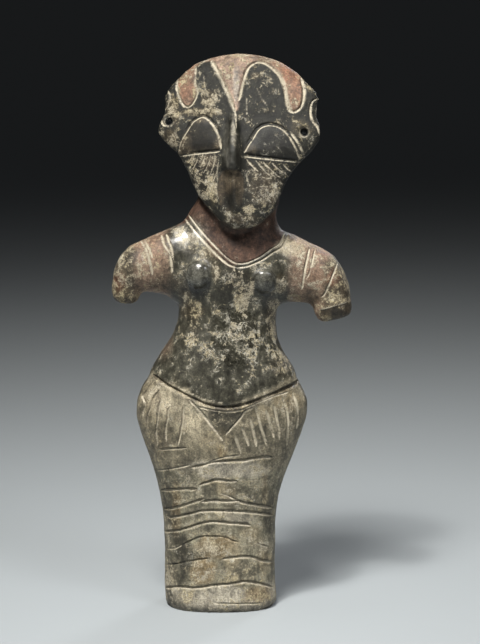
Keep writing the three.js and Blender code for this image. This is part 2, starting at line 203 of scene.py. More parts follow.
# Strokes of the hips, picture places.
HIP_CUTS = [
    ("stroke", [(147.6, 389.9), (143, 396), (145, 403.2), (143.5, 410.8), (143, 416)],
     [(159.3, 390.4), (153.2, 398.6), (150.6, 407.2), (147.6, 415.9), (146.5, 428.7)],
     [(160.8, 399), (158.8, 408.3), (157.8, 418.5), (156.2, 431.2), (157.8, 445.5)],
     [(170, 406.7), (168, 410.8), (167.4, 418.5), (165.9, 427.7), (165.7, 434.8), (166.4, 441)],
     [(183.3, 405.7), (182.8, 419), (181.7, 426), (180.2, 433.8), (178.2, 445)]),
    ("scratch", [(186.3, 417.4), (184.3, 430.2), (183.3, 436.3)]),
    ("stroke", [(158.8, 449.6), (172, 448.8), (186.8, 447.8)], [(235, 436), (238.4, 446.3), (240.7, 453.2)],
     [(241.3, 426.3), (244.8, 434.9), (248.8, 445.8)],
     [(249.9, 418.8), (251.6, 426.8), (253.9, 436), (256.2, 446.3)],
     [(254.5, 404.4), (257.4, 414.8), (259.7, 424.5), (262.6, 433.1), (266.6, 445.8)],
     [(266, 410.2), (268.9, 420.5), (271.7, 429.7), (274, 438.3)],
     [(273.5, 405), (276.3, 418.8), (278.6, 430.3), (279.2, 439.5)],
     [(282, 397), (286.1, 409), (287.8, 420.5), (287.5, 432), (286.7, 446.3)],
     [(292.4, 393), (296.4, 405.6), (297.6, 415.9), (296.4, 428.5)]),
    ("scratch", [(301, 398.7), (303.3, 407.3), (303.9, 418.8)]),
]

# Lines round the leg block, picture places.
LEG_CUTS = [
    ("fine", [(154.5, 469), (159.8, 470.4), (167.2, 469.6), (178.7, 467.6), (190.2, 465)]),
    ("deep", [(191.3, 467.6), (200.5, 465.8), (213.1, 462.4), (231.5, 461), (244.7, 460.4), (261.9, 457.5),
      (272.8, 457.2)]),
    ("fine", [(205, 464), (220, 458.4), (231.5, 456.4), (240, 455.5)]),
    ("scratch", [(200, 468), (197.5, 475)]),
    ("leg cut", [(161.5, 490.5), (178.7, 489.4), (197, 488.8)]),
    ("deep", [(200, 484.8), (207.4, 482.5), (216, 480.2), (229.8, 481.3), (237.2, 481.3)]),
    ("scratch", [(239.5, 480.2), (254.4, 480.5), (271.7, 480.8), (281, 480)],
     [(220, 473.3), (227.5, 476.7), (237, 477.9)]),
    ("leg cut", [(164.4, 508.9), (173, 508.3), (181.6, 506), (193, 502.6), (204.5, 498.6)],
     [(201.7, 502), (213.1, 500.9), (229.8, 501.4), (237.2, 500.9), (243, 502.6), (254.4, 504.9),
      (266, 506.9), (271.7, 507.7)]),
    ("fine", [(220, 493.4), (229, 496.5), (237.2, 500.9), (239, 503.5)]),
    ("leg cut", [(167.2, 516.4), (170.7, 517.5), (178.7, 516.4), (191.3, 514), (204.5, 511.2),
      (229.8, 511.2), (248.7, 512.3), (260.2, 513.5), (271.7, 515.2)],
     [(165, 531.5), (177, 531), (188, 528), (204, 523), (214, 522), (226.5, 523), (244.7, 524.4),
      (250.4, 525.5)]),
    ("fine", [(166, 548.7), (174.2, 548.7), (181.3, 545.8)]),
    ("shadow", [(183, 544.5), (194.6, 539.1), (204.2, 536.6), (223.3, 537.2), (231, 540.4), (238.6, 542.3)]),
    ("fine", [(258, 544), (269.2, 547.4)]),
    ("shadow", [(164.7, 564.6), (175.5, 564), (188.3, 561.5), (201, 559.5), (210.6, 558.3)]),
    ("leg cut", [(222, 559.2), (234.1, 557.6), (243.7, 556.7), (253.3, 557.6), (262.8, 560.8), (272.4, 562)],
     [(164.7, 587.6), (181.9, 587), (191.5, 588.2), (204.2, 587.6), (213.8, 585.7), (229.7, 584.4),
      (245.6, 581.9), (259.6, 583.8), (272.4, 587)]),
    ("fine", [(215, 603.5), (238, 604), (262.8, 603.5)]),
    ("scratch", [(229, 597.8), (237, 592.5), (244.3, 587.6)]),
]

# Lines that go on round the back: kind, height at the left side and at the right side, in mm.
ROUND_BACK = [
    ("cut", 39.6, 42.4), ("fine", 33.2, 36.0), ("cut", 27.6, 27.6), ("fine", 24.8, 25.2),
    ("cut", 20.6, 22.0), ("fine", 15.4, 15.8), ("cut", 10.6, 11.2), ("fine", 3.8, 3.9), ("cut", 68.0, 68.6),
]

# Lines on the back of the shoulders and arms: kind, then places as across and height in mm.
BACK_CUTS = [
    ("cut", [(-12.5, 113.0), (-7.0, 107.6), (2.5, 104.8), (12.0, 106.6), (18.0, 111.0)]),
    ("fine", [(-17.4, 108.6), (-16.4, 104.0), (-14.6, 98.6)],
     [(-23.0, 107.0), (-21.4, 102.6), (-20.2, 98.0)], [(25.6, 105.0), (24.8, 100.4), (23.6, 94.6)],
     [(33.6, 101.0), (31.4, 95.4), (29.6, 91.6)]),
]

# Outlines of the painted parts of the mask, picture places.
CROWN_WEDGE = [*V_LEFT, (235, 112), (237.6, 110), *V_RIGHT, (263, 60), (262, 46), (240, 40), (215, 46)]
LEFT_PANEL = [*V_LEFT, (234, 112), (230, 120), (215, 118), (203, 110), (197, 104), (197.3, 92.5), (195, 82),
    (195, 68), (202, 62)]
RIGHT_PANEL = [*V_RIGHT, (260.7, 62), (269.6, 65.7), (278.6, 74.6), *LOBE_INNER, (285, 118), (262, 118),
    (245, 125), (238, 115)]
LEFT_LOBE = [*LOBE_LEFT, (195, 72), (190, 70)]
RIGHT_LOBE = [*LOBE_INNER, *LOBE_OUTER, (302, 78), (292, 66), (270, 52), (255, 48), (258, 60), (269.6, 65.7),
    (278.6, 74.6)]
LEFT_EYE = [(178, 155), (180, 142), (185.7, 131.8), (193, 121), (203.6, 115.7), (214.3, 124.6), (220, 137),
    (222.3, 149), (205, 151.5), (190, 153)]
RIGHT_EYE = [(244, 154), (248, 145), (251.8, 139), (259, 127.3), (269.6, 123.8), (282, 127.3),
    (289.3, 135.4), (296.4, 147.9), (300.5, 160.5), (280, 158.5), (260, 156.5)]

# The roll below the belly and the triangle under it, picture places.
BELLY_ROLL = [(153, 374), (167, 383), (189, 395), (207, 403), (225, 406), (243, 403), (265, 396), (287, 386),
    (298, 378), (300, 384), (290, 392), (274, 398), (254, 406), (240, 412), (227, 413), (211, 411),
    (195, 408), (175, 396), (155, 385)]
TRIANGLE = [(192, 403), (211, 411), (227, 413), (240, 412), (254, 406), (245, 412), (240, 418), (231, 429),
    (224.5, 436), (219, 435), (209.7, 423), (200.4, 411)]

# The neck inside the neckline, picture places.
NECK_SEEN = [(183, 213), *NECK_LEFT, *NECK_RIGHT, (289, 226), (284, 205), (278, 180), (200, 180), (192, 200)]

# The mask below the eyes where it hides the neck, picture places.
CHIN = [(180, 165), (190, 185), (196, 194), (209, 208.6), (221, 223), (231, 228.5), (241, 229.6), (252, 228),
    (264, 221), (276, 208.6), (281, 190), (295, 170)]

# The flat end of the nose, which faces down, picture places. Its brown is painted reflected light and the
# black on its lower part is painted shade.
NOSE_END = [(221, 172), (226, 170), (231, 169.5), (237, 170), (241, 172), (244, 180), (244.5, 192),
    (241, 204), (234, 211), (226, 211), (220, 204), (217.5, 192), (218, 180)]

# The broken end of the arm on the picture's right, which faces down, picture places. The brown and the black
# laid on it are painted shade.
STUMP_END = [(319, 309.5), (330, 307), (346, 302.5), (352, 305), (350, 312), (343, 319), (330, 323),
    (320, 319)]

# Raised forms. Breasts: middle across and down and half size in picture pixels, added height in mm.
BREASTS = [(198, 274, 14.5, 2.7), (264.5, 281, 12.5, 3.6)]

# The lenses of the eyes rise this many mm over the first pixels inside their outline.
LENS_RISE = 0.55
LENS_SLOPE = 9.0

# The nose: place down, middle and half widths left and right, in picture pixels, and how far it rises in mm.
NOSE = [(110, 234.5, 9.0, 5.0), (168, 231.5, 12.5, 9.5)]
NOSE_RISE = 1.1

# The two holes through the edge of the mask: across and height in mm where they pass the middle of the depth.
HOLES = [(-14.65, 141.68), (23.83, 137.17)]
HOLE_RADIUS = 1.05 * MM
HOLE_TILT = math.radians(20.4)
HOLE_RIM_PIXELS = 4.6
HOLE_SEEN = [(169, 121), (304, 132)]

# Colours as the picture shows them, 0 to 255. The near white one is a painted highlight for the left
# shoulder.
TONES = {
    "slip": (42, 41, 34), "black": (28, 27, 22), "pink": (164, 138, 119), "salmon": (144, 116, 95),
    "red": (146, 98, 74), "lens": (36, 35, 30), "nipple": (84, 83, 76), "neck": (80, 59, 47),
    "shine": (206, 205, 198), "torso": (69, 67, 57), "arm": (142, 119, 100), "stump": (92, 82, 66),
    "ochre": (152, 132, 98), "sand": (172, 157, 126), "pale": (210, 197, 168), "hip": (130, 122, 102),
    "leg": (134, 128, 108), "umber": (62, 58, 47), "ash": (178, 170, 152), "brown": (80, 70, 55),
    "grey": (140, 137, 127),
}

# A finish is a tone, crust, gloss and flecks. None, or nothing, leaves that one as it is.
BARE_CLAY = ("leg", 0.36, 0.25, 0.5)

# Under crust this thick, only a part of a tone shows.
THICK_CRUST = 0.55
SEEN_THROUGH_CRUST = 0.35

# Ragged oval patches in the order they are laid: middle across and down, half width and half height, all in
# picture pixels, strength, then the finish.
MASK_SPOTS = [
    (236, 86, 3.5, 20, 0.7, "grey", 0.2, 0.7), (228, 62, 10, 6, 0.5, "stump", 0.3),
    (240, 54, 14, 4, 0.6, "sand", 0.5), (288, 72, 8, 12, 0.6, "red", 0.3), (186, 86, 7, 14, 0.4, "red", 0.3),
    (297, 88, 5, 14, 0.4, "red", 0.3), (262, 57, 12, 4, 0.5, "brown", 0.5),
    (205, 80, 9, 16, 0.6, "black", 0.25), (208, 100, 8, 10, 0.75, "ochre", 0.78),
    (200, 112, 24, 5, 0.7, "ochre", 0.8), (174, 110, 7, 16, 0.7, "ochre", 0.8),
    (186, 78, 12, 5, 0.5, "sand", 0.7), (170, 140, 8, 12, 0.6, "ochre", 0.7),
    (255, 76, 5, 5, 0.7, "ochre", 0.7), (264, 88, 9, 16, 0.4, None, 0.6, None, 0.9),
    (276, 121, 14, 3, 0.4, None, 0.6), (300, 128, 12, 10, 0.35, "sand", 0.6),
    (310, 84, 9, 10, 0.5, "sand", 0.6), (203, 176, 15, 24, 0.7, "brown", 0.66, 0.4),
    (207, 163, 9, 8, 0.6, "salmon", 0.6), (264, 168, 16, 9, 0.45, "brown", 0.55),
    (264, 190, 16, 18, 0.7, "stump", 0.5, None, 0.95), (240, 222, 22, 8, 0.8, "stump", 0.5, None, 0.9),
    (266, 176, 18, 8, 0.5, "stump", 0.5, 0.6), (270, 116, 22, 8, 0.8, "black", 0.2),
    # The black at 244,132, in the hollow right of the nose, is painted shade.
    (244, 132, 7, 18, 0.7, "black", 0.2), (248, 209, 6, 5, 0.9, "sand", 0.9),
]

FACE_SPOTS = [
    (203, 137, 18, 17, 0.95, "black", 0.1, 0.05, 0.0), (251, 149, 7, 5, 0.6, "stump", 0.5),
    (230, 145, 11, 34, 0.95, "slip", 0.12, 0.4, 0.3), (227, 142, 4, 26, 0.75, "nipple", 0.12, 0.7),
    # The thin ash line down the nose's crest and the grey spot near its tip are painted highlights.
    (233.5, 132, 1.0, 18, 0.45, "ash", 0.2, 0.6), (230.5, 158, 2.5, 10, 0.5, "grey", 0.1, 1.0),
    # The dark lens tone on the nose's right flank, at 237,150, is painted shade.
    (237, 150, 4, 18, 0.6, "lens", 0.25, 0.6), (214, 192, 5, 14, 0.7, "sand", 0.75),
    # The pale sand just under the nose end is partly crust and partly painted light on the lit rim of the
    # chin.
    (231, 214, 10, 3, 0.7, "sand", 0.7),
]

# Painted light on the nose end: lighter brown at its top for reflected light, black on its lower part for
# painted shade.
NOSE_END_SPOTS = [
    (231, 181, 10, 5, 0.5, "stump", 0.1), (232, 201, 12, 12, 0.95, "black", 0.1, 0.2),
    (236, 190, 7, 4, 0.5, "black", 0.1),
]

ARM_SPOTS = [
    # The umber at 197,224, on the left of the neck, is painted shade on that side.
    (197, 224, 9, 12, 0.35, "umber", 0.1), (190, 240, 20, 18, 0.95, "grey", 0.42, 1.0, 0.7),
    # On the left shoulder, the near white spots at 178,233, 185,243 and 197,234 are painted highlights, and
    # the ash patches at 196,236 and 182,240 are partly pale crust and partly painted highlight.
    (196, 236, 8, 7, 0.8, "ash", 0.1, 1.0), (182, 240, 6, 7, 0.7, "ash", 0.1, 1.0),
    (200, 250, 9, 6, 0.6, "torso", 0.4, 0.9), (178, 233, 4, 4, 0.8, "shine", 0.4, 1.0),
    (185, 243, 4, 5, 0.7, "shine", 0.5, 1.2), (183, 238, 16, 14, 0.7, None, None, 1.3),
    (197, 234, 5, 3, 0.7, "shine", 0.4, 1.0), (174, 246, 5, 7, 0.6, "black", 0.3, 0.8),
    (190, 228, 5, 4, 0.5, "torso", 0.4, 0.8), (168, 240, 6, 10, 0.5, "torso", 0.4, 0.8),
    (209, 256, 10, 10, 0.5, "sand", 0.7), (177, 232, 8, 7, 0.5, None, 0.8),
    (189, 244, 10, 12, 0.4, "ochre", 0.6), (291, 248, 17, 10, 0.6, "pale", 0.48, 0.8),
    (284, 262, 12, 7, 0.6, "torso", 0.3), (158, 250, 11, 14, 0.7, "salmon", 0.4),
    (128, 255, 12, 9, 0.5, "black", 0.5), (122, 290, 10, 9, 0.8, "ochre", 0.7),
    (133, 244, 10, 5, 0.7, "pink", 0.5), (166, 282, 16, 10, 0.6, "brown", 0.35),
    (322, 256, 14, 8, 0.7, "pink", 0.5), (327, 252, 9, 5, 0.5, "red", 0.4),
    (334, 278, 7, 12, 0.45, "red", 0.4), (120, 282, 7, 10, 0.45, "red", 0.45),
    (136, 244, 9, 4, 0.4, "red", 0.45), (315, 276, 10, 12, 0.5, "salmon", 0.4),
    (343, 290, 9, 15, 0.8, "brown", 0.45), (312, 297, 14, 8, 0.6, "brown", 0.25),
    (334, 299, 14, 4, 0.7, "sand", 0.6),
]

# The black on the broken end is painted shade; the sand is a fleck of crust.
STUMP_END_SPOTS = [
    (338, 312, 10, 5, 0.8, "black", 0.25), (327, 318, 6, 3, 0.6, "sand", 0.5),
]

TORSO_SPOTS = [
    (198, 276, 15, 16, 0.95, "nipple", 0.08, 1.4, 0.0), (265, 281, 12, 12, 0.95, "nipple", 0.08, 1.4, 0.0),
    # The slip bands at 192,290 and 268,294, just below the breasts, are painted shade.
    (192, 290, 14, 6, 0.7, "slip", 0.2), (268, 294, 10, 5, 0.7, "slip", 0.2),
    (216, 272, 4, 11, 0.8, "sand", 0.9), (250, 287, 4, 13, 0.7, "stump", 0.85),
    (281, 284, 5, 10, 0.6, "ochre", 0.8), (264, 280, 9, 9, 0.9, "nipple", 0.02, 1.4, 0.0),
    (228, 292, 12, 20, 0.5, "black", 0.3), (236, 335, 26, 34, 0.75, None, 0.42, 1.15, 1.0),
    (222, 372, 16, 20, 0.55, None, 0.4, None, 1.0), (206, 354, 8, 15, 0.8, None, 0.6, None, 1.3),
    (192, 340, 7, 6, 0.7, None, 0.6, None, 1.3), (239, 328, 8, 9, 0.7, None, 0.48, None, 1.4),
    (257, 338, 8, 10, 0.7, None, 0.5, None, 1.4), (272, 348, 8, 12, 0.7, None, 0.6, None, 1.2),
    (250, 358, 6, 22, 0.6, None, 0.6, None, 1.0), (184, 300, 6, 20, 0.5, "stump", 0.48),
    (274, 318, 9, 26, 0.8, "stump", 0.73, 0.6), (271, 306, 7, 18, 0.5, "stump", 0.5),
    (243, 300, 9, 16, 0.7, "stump", 0.8), (237, 280, 12, 16, 0.6, "stump", 0.64, None, 0.8),
    (284, 352, 8, 14, 0.6, "stump", 0.6), (194, 322, 6, 16, 0.5, "stump", 0.58),
    (222, 326, 7, 16, 0.7, "torso", 0.15, 1.0), (240, 366, 12, 10, 0.5, "slip", 0.3, 1.0),
    (182, 364, 18, 16, 0.7, "torso", 0.22), (282, 366, 14, 14, 0.5, "stump", 0.6, None, 0.7),
    (225, 392, 26, 9, 0.5, "torso", 0.2), (196, 310, 8, 12, 0.4, "ochre", 0.7),
]

LEG_SPOTS = [
    (168, 400, 26, 15, 0.95, "pale", 0.5), (194, 418, 17, 20, 0.75, "pale", 0.5),
    (286, 400, 18, 12, 0.8, "sand", 0.5), (262, 412, 14, 10, 0.45, "sand", 0.5),
    (150, 400, 8, 20, 0.5, "ochre", 0.6), (250, 440, 30, 18, 0.4, "slip", 0.3),
    (160, 440, 12, 20, 0.4, "brown", 0.3), (215, 440, 18, 14, 0.3, "sand", 0.45),
    (176, 508, 6, 28, 0.85, "ochre", 0.5), (222, 452, 5, 8, 0.8, "ochre", 0.5),
    (196, 512, 14, 8, 0.6, "umber", 0.3), (186, 470, 12, 18, 0.4, "umber", 0.3),
    (252, 494, 8, 14, 0.5, "umber", 0.3), (226, 492, 12, 10, 0.6, "sand", 0.5),
    (265, 490, 4, 20, 0.85, "sand", 0.5), (225, 515, 16, 8, 0.35, "brown"),
    (246, 470, 14, 10, 0.5, "ash", 0.5), (214, 472, 10, 6, 0.5, "sand", 0.5),
    (240, 518, 16, 7, 0.6, "ash", 0.5), (250, 532, 12, 6, 0.5, "sand", 0.5),
    (264, 560, 8, 16, 0.6, "sand", 0.5), (268, 520, 5, 16, 0.5, "umber", 0.3),
    (166, 486, 5, 24, 0.5, "umber", 0.3), (219, 545, 20, 13, 0.9, "ochre", 0.54),
    (210, 546, 12, 8, 0.6, "sand", 0.5), (231, 556, 9, 18, 0.6, "sand", 0.5),
    (186, 566, 8, 9, 0.75, "black", 0.4), (214, 478, 18, 8, 0.5, "sand", 0.5),
    (168, 600, 6, 8, 0.6, "umber", 0.4), (255, 598, 14, 8, 0.7, "ochre", 0.6),
    (238, 489, 10, 6, 0.5, "umber", 0.3), (206, 528, 10, 5, 0.5, "umber", 0.3),
    (212, 549, 12, 8, 0.6, "sand", 0.8), (256, 540, 10, 8, 0.5, "ochre", 0.55),
    (182, 550, 10, 16, 0.8, "umber", 0.2), (197, 555, 12, 5, 0.6, "umber", 0.25),
    (202, 572, 14, 14, 0.85, "ochre", 0.54), (184, 580, 7, 8, 0.7, "umber", 0.2),
    (171, 576, 6, 12, 0.7, "sand", 0.7), (245, 570, 22, 9, 0.6, "stump", 0.62),
    (232, 582, 16, 5, 0.6, "sand", 0.7), (226, 594, 20, 10, 0.95, "ash", 0.3),
    (258, 594, 15, 9, 0.8, "ochre", 0.54), (188, 597, 11, 8, 0.5, "sand", 0.65),
    # The tall umber strips down the leg block's left and right edges, at 172,500, 175,560 and 268,505, are
    # painted shade where the block turns from the light, and so is the umber at the base's left, 172,598.
    (172, 598, 13, 10, 0.7, "umber", 0.35), (172, 500, 11, 42, 0.55, "umber"),
    (175, 560, 13, 32, 0.5, "umber"), (268, 505, 9, 32, 0.45, "umber"), (176, 400, 5, 26, 0.4, "hip", 0.5),
    (159, 405, 3, 20, 0.5, "brown", 0.5), (262, 424, 5, 16, 0.4, "umber", 0.5),
    (291, 412, 4, 18, 0.4, "brown", 0.5), (270, 398, 12, 4, 0.5, "ochre", 0.6),
    (225, 470, 46, 10, 1.0, "ash"), (250, 505, 18, 12, 0.35, "umber", 0.4),
    (232, 497, 9, 20, 0.4, "brown", 0.4), (207, 493, 6, 8, 0.5, "umber", 0.4),
]

# Noises in the clay: scale, detail, roughness and distortion. The streaks are stretched upright.
NOISES = {
    "broad": (75, 3, 0.5, 0.0),
    "clouds": (290, 7, 0.66, 0.3),
    "flakes": (760, 8, 0.78, 0.6),
    "grit": (2600, 4, 0.65, 0.0),
    "streaks": (620, 5, 0.7, 0.0),
    "threads": (360, 4, 0.6, 1.6),
    "cracks": (330, 6, 0.7, 0.8),
}
STREAK_STRETCH = (1.0, 1.0, 0.16)

# How the noises shade a tone: noise from and to, brightness from and to.
SHADES = [
    ("clouds", 0.37, 0.63, 0.55, 1.42),
    ("flakes", 0.36, 0.64, 0.56, 1.4),
    ("grit", 0.32, 0.68, 0.7, 1.26),
    ("streaks", 0.36, 0.64, 0.74, 1.24),
]

# Linear colours of the earth crust, pale threads, cracks, the fill in the lines and the painted shade on
# their walls.
CRUST_PALE = (0.58, 0.52, 0.39, 1)
CRUST_YELLOW = (0.54, 0.46, 0.28, 1)
CRUST_DARK = (0.16, 0.13, 0.085, 1)
THREAD_COLOUR = (0.56, 0.53, 0.44, 1)
CRACK_COLOUR = (0.03, 0.026, 0.02, 1)
FILL_COLOUR = (0.56, 0.50, 0.38, 1)
WALL_SHADE_COLOUR = (0.02, 0.018, 0.014, 1)

# The colours of the floor and the room, and the lamps: place, aim, size, watts, spread in degrees, colour.
FLOOR_COLOUR = (0.31, 0.335, 0.35, 1)
ROOM_COLOUR = (0.5, 0.51, 0.52, 1)
WARM = (1.0, 0.98, 0.94)
COOL = (0.97, 0.98, 1.0)
LAMPS = {
    "key_light": ((-0.20, -0.60, 1.10), (0.01, -0.09, 0.05), 0.42, 1.47, 44, WARM),
    "glint_light": ((-0.26, -0.57, 1.09), (0.01, -0.09, 0.05), 0.09, 0.36, 44, WARM),
    "side_light": ((0.52, -0.55, 0.85), (0, 0, 0.08), 0.40, 0.19, 40, COOL),
    "top_light": ((0.0, 0.08, 1.1), (0, 0, 0.08), 0.4, 0.07, 40, (1.0, 1.0, 1.0)),
    "back_light": ((0.45, 0.85, 0.50), (0.0, 0.0, 0.10), 0.3, 0.11, 24, COOL),
}


def pixel_ray(across, down):
    side = (across - PICTURE_WIDTH / 2) / FOCAL_PIXELS
    rise = (PICTURE_HEIGHT / 2 - down) / FOCAL_PIXELS
    return Vector(AHEAD + np.array([side, 0.0, 0.0]) + rise * UPWARD).normalized()


def to_picture(places):
    seen = places - CAMERA_PLACE
    depth = seen @ AHEAD
    across = PICTURE_WIDTH / 2 + FOCAL_PIXELS * seen[:, 0] / depth
    down = PICTURE_HEIGHT / 2 - FOCAL_PIXELS * (seen @ UPWARD) / depth
    return np.column_stack([across, down])


def eased(value, low, high):
    share = np.clip((value - low) / (high - low), 0.0, 1.0)
    return share * share * (3 - 2 * share)


def curve_through(places, step):
    """Points a step apart on a smooth curve through the places."""
    known = np.array(places, float)
    ends = np.vstack([2 * known[0] - known[1], known, 2 * known[-1] - known[-2]])
    found = []
    for i in range(len(known) - 1):
        a, b, c, d = ends[i : i + 4]
        count = max(2, int(np.linalg.norm(c - b) / step))
        for t in np.arange(count) / count:
            found.append(0.5 * (2 * b + (c - a) * t + (2 * a - 5 * b + 4 * c - d) * t**2
                                + (3 * b - a - 3 * c + d) * t**3))
    found.append(known[-1])
    return np.array(found)


def grainy(places, size, seed):
    """A smooth random value from -1 to 1 at each place, with lumps about that size."""
    shift = Vector((seed * 7.3, seed * 3.1, seed * 5.7))
    return np.array([noise.noise(Vector(place) / size + shift) for place in places])


def signed_depth(pixels, outline):
    """How far inside the outline each picture place is, in pixels, negative outside it."""
    corners = np.array(outline, float)
    nearest = np.full(len(pixels), 1e9)
    inside = np.zeros(len(pixels), bool)
    for start, end in zip(corners, np.roll(corners, -1, axis=0)):
        side = end - start
        along = np.clip(((pixels - start) @ side) / (side @ side), 0, 1)
        nearest = np.minimum(nearest, np.linalg.norm(pixels - start - along[:, None] * side, axis=1))
        crosses = (start[1] > pixels[:, 1]) != (end[1] > pixels[:, 1])
        with np.errstate(divide="ignore", invalid="ignore"):
            at = start[0] + (pixels[:, 1] - start[1]) * side[0] / side[1]
        inside ^= crosses & (pixels[:, 0] < at)
    return np.where(inside, nearest, -nearest)


def only(thing):
    bpy.ops.object.select_all(action="DESELECT")
    thing.select_set(True)
    bpy.context.view_layer.objects.active = thing


def use_modifier(thing, kind, **settings):
    only(thing)
    bpy.ops.object.modifier_add(type=kind)
    modifier = thing.modifiers[-1]
    for name, value in settings.items():
        setattr(modifier, name, value)
    bpy.ops.object.modifier_apply(modifier=modifier.name)


def vertex_values(thing, what):
    """The places ("co") or the directions ("normal") of a mesh's vertices, one in each row."""
    flat = np.empty(len(thing.data.vertices) * 3)
    thing.data.vertices.foreach_get(what, flat)
    return flat.reshape(-1, 3)


def set_group(thing, name, weights):
    group = thing.vertex_groups.new(name=name)
    for index in np.nonzero(weights > 0.002)[0]:
        group.add([int(index)], float(weights[index]), "REPLACE")
    return name


def smooth_where(thing, weights, times):
    group = set_group(thing, "smoothed", weights)
    use_modifier(thing, "SMOOTH", factor=0.5, iterations=times, vertex_group=group)
    thing.vertex_groups.clear()


def edit(thing, operator, **settings):
    """Runs one mesh operator on what is selected in the mesh."""
    only(thing)
    bpy.ops.object.mode_set(mode="EDIT")
    operator(**settings)
    bpy.ops.object.mode_set(mode="OBJECT")


def cut_finer(thing, tree, wanted, reach):
    """Cuts the faces near a wanted line in two each way."""
    mesh = thing.data
    near = []
    for face in mesh.polygons:
        _, number, far = tree.find(face.center)
        near.append(far < reach and bool(wanted[number]))
    bpy.context.tool_settings.mesh_select_mode = (False, False, True)
    edit(thing, bpy.ops.mesh.select_all, action="DESELECT")
    mesh.polygons.foreach_set("select", near)
    edit(thing, bpy.ops.mesh.subdivide, number_cuts=1, quadcorner="INNERVERT")


def seen_on(surface, pixels):
    """Where the rays from the camera through picture places meet the clay."""
    eye = Vector(CAMERA_PLACE)
    return [surface.ray_cast(eye, pixel_ray(*place))[0] for place in pixels]


def front_lines(surface):
    for kind, *lines in MASK_CUTS + DRESS_CUTS + HIP_CUTS + LEG_CUTS:
        for places in lines:
            yield kind, 1.0, seen_on(surface, curve_through(places, FRONT_STEP))


def hole_rims(surface):
    turns = np.linspace(0, 2 * math.pi, RIM_POINTS)
    far = HOLE_RIM_PIXELS
    for across, down in HOLE_SEEN:
        ring = [(across + far * math.cos(turn), down + far * math.sin(turn)) for turn in turns]
        yield "hole rim", 1.0, seen_on(surface, ring)


def back_lines(surface):
    for kind, *lines in BACK_CUTS:
        for places in lines:
            curve = curve_through(places, BACK_STEP)
            starts = [Vector((across, 60, height)) * MM for across, height in curve]
            yield kind, BACK_STRENGTH, [surface.ray_cast(start, Vector((0, -1, 0)))[0] for start in starts]


def round_lines(surface):
    """The lines round the back, which wave a little more the further they are from the sides."""
    for number, (kind, left, right) in enumerate(ROUND_BACK):
        hits = []
        for share in np.linspace(0.0, 1.0, ROUND_POINTS):
            angle = math.pi * (1 - share)
            wave = 0.7 * math.sin(5 * share + 1.9 * number) + 0.35 * math.sin(13 * share + number)
            height = (left + (right - left) * share + wave * math.sin(angle)) * MM
            outward = Vector((math.cos(angle), math.sin(angle), 0))
            hits.append(surface.ray_cast(outward * 60 * MM + Vector((0, 0, height)), -outward)[0])
        yield kind, BACK_STRENGTH, hits


def form_at(kind, strength, number, from_end, place):
    """A line at one of its points, thinner near its tips and unevenly pressed and worn: half width, depth,
    fill and rim, then whether it rims a hole and whether the faces by it are cut finer twice."""
    half, depth, fill, rim = CUTS[kind]
    taper = 0.45 + 0.55 * min(1.0, 0.13 * from_end)
    hand = 1 + 0.45 * noise.noise(place / (2.6 * MM) + Vector((number, 0, 0)))
    wear = 1 + 0.55 * noise.noise(place / (3.7 * MM) + Vector((0, number, 0)))
    depth *= taper * hand * (0.6 + 0.4 * strength)
    twice = strength == 1.0 and kind not in ("scratch", "shaping", "edge")
    return half * taper, depth, fill * strength * wear, rim * hand, kind == "hole rim", twice


def lay_cuts(thing):
    """Lays every line on the clay: a search tree of its points, the form at each point, and the points."""
    surface = BVHTree.FromObject(thing, bpy.context.evaluated_depsgraph_get())
    lines = [*front_lines(surface), *hole_rims(surface), *back_lines(surface), *round_lines(surface)]
    points = []
    forms = []
    for number, (kind, strength, hits) in enumerate(lines):
        found = [hit for hit in hits if hit is not None]
        for i, hit in enumerate(found):
            points.append(hit)
            forms.append(form_at(kind, strength, number, min(i, len(found) - 1 - i), hit))
    tree = KDTree(len(points))
    for i, point in enumerate(points):
        tree.insert(point, i)
    tree.balance()
    return tree, np.array(forms, float), np.array(points)


def copy_of_solid():
    figure = frame["nodes"]["idol"].copy()
    figure.data = figure.data.copy()
    figure.name = "clay_figure"
    figure.data.name = "clay_figure"
    figure.parent = None
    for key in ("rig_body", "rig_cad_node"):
        del figure[key]
    bpy.context.scene.collection.objects.link(figure)
    figure.data.materials.clear()
    edit(figure, bpy.ops.mesh.select_all, action="SELECT")
    edit(figure, bpy.ops.mesh.remove_doubles, threshold=0.002 * MM)
    return figure


def smooth_old_shapes(figure):
    """Smooths away the solid's breasts and line creases, which are made finer later. Ear holes stay."""
    tree, forms, _ = lay_cuts(figure)
    places = vertex_values(figure, "co")
    nearest = [tree.find(Vector(place)) for place in places]
    reach = np.array([hit[2] for hit in nearest])
    kept = forms[[hit[1] for hit in nearest], 4] > 0
    for hole in HOLES:
        kept |= np.linalg.norm(from_hole(places, hole), axis=1) < 2 * HOLE_RADIUS
    pixels = to_picture(places)
    breasts = np.zeros(len(pixels))
    for across, down, half, _ in BREASTS:
        ring = np.hypot(pixels[:, 0] - across, pixels[:, 1] - down) / half
        breasts = np.maximum(breasts, 1 - eased(ring, 1.0, 1.5))
    smooth_where(figure, breasts, times=40)
    smooth_where(figure, np.where(kept, 0.0, 1 - eased(reach, 1.0 * MM, 2.2 * MM)), times=12)


def drill_ear_holes(figure):
    for across, height in HOLES:
        bpy.ops.object.select_all(action="DESELECT")
        bpy.ops.mesh.primitive_cylinder_add(
            vertices=28, radius=HOLE_RADIUS, depth=40 * MM, location=(across * MM, 0, height * MM),
            rotation=(math.pi / 2 - HOLE_TILT, 0, 0))
        drill = bpy.context.active_object
        use_modifier(figure, "BOOLEAN", object=drill, operation="DIFFERENCE", solver="EXACT")
        bpy.data.objects.remove(drill)


